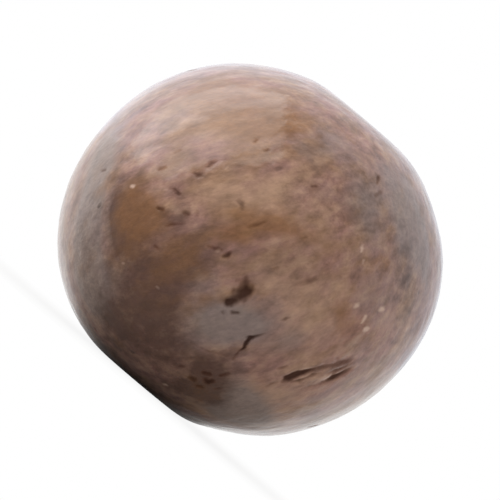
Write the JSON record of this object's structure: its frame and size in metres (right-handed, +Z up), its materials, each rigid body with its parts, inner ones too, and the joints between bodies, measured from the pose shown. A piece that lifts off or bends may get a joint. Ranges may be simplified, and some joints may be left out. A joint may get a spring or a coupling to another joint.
{
  "type": "wooden bead",
  "caption": "Round turned wooden bead with a drilled hole along its axis, strung on a cord or thread.",
  "frame": {"origin": "centre of the lower end face, on the line of the hole", "axes": "+Z up along the hole; -Y is the side with the pit, the drying check and the torn grain"},
  "size_m": [0.02, 0.02, 0.018],
  "materials": {
    "wood": "waxed, satin"
  },
  "bodies": {
    "root": {"bead": "wood"}
  },
  "joints": []
}
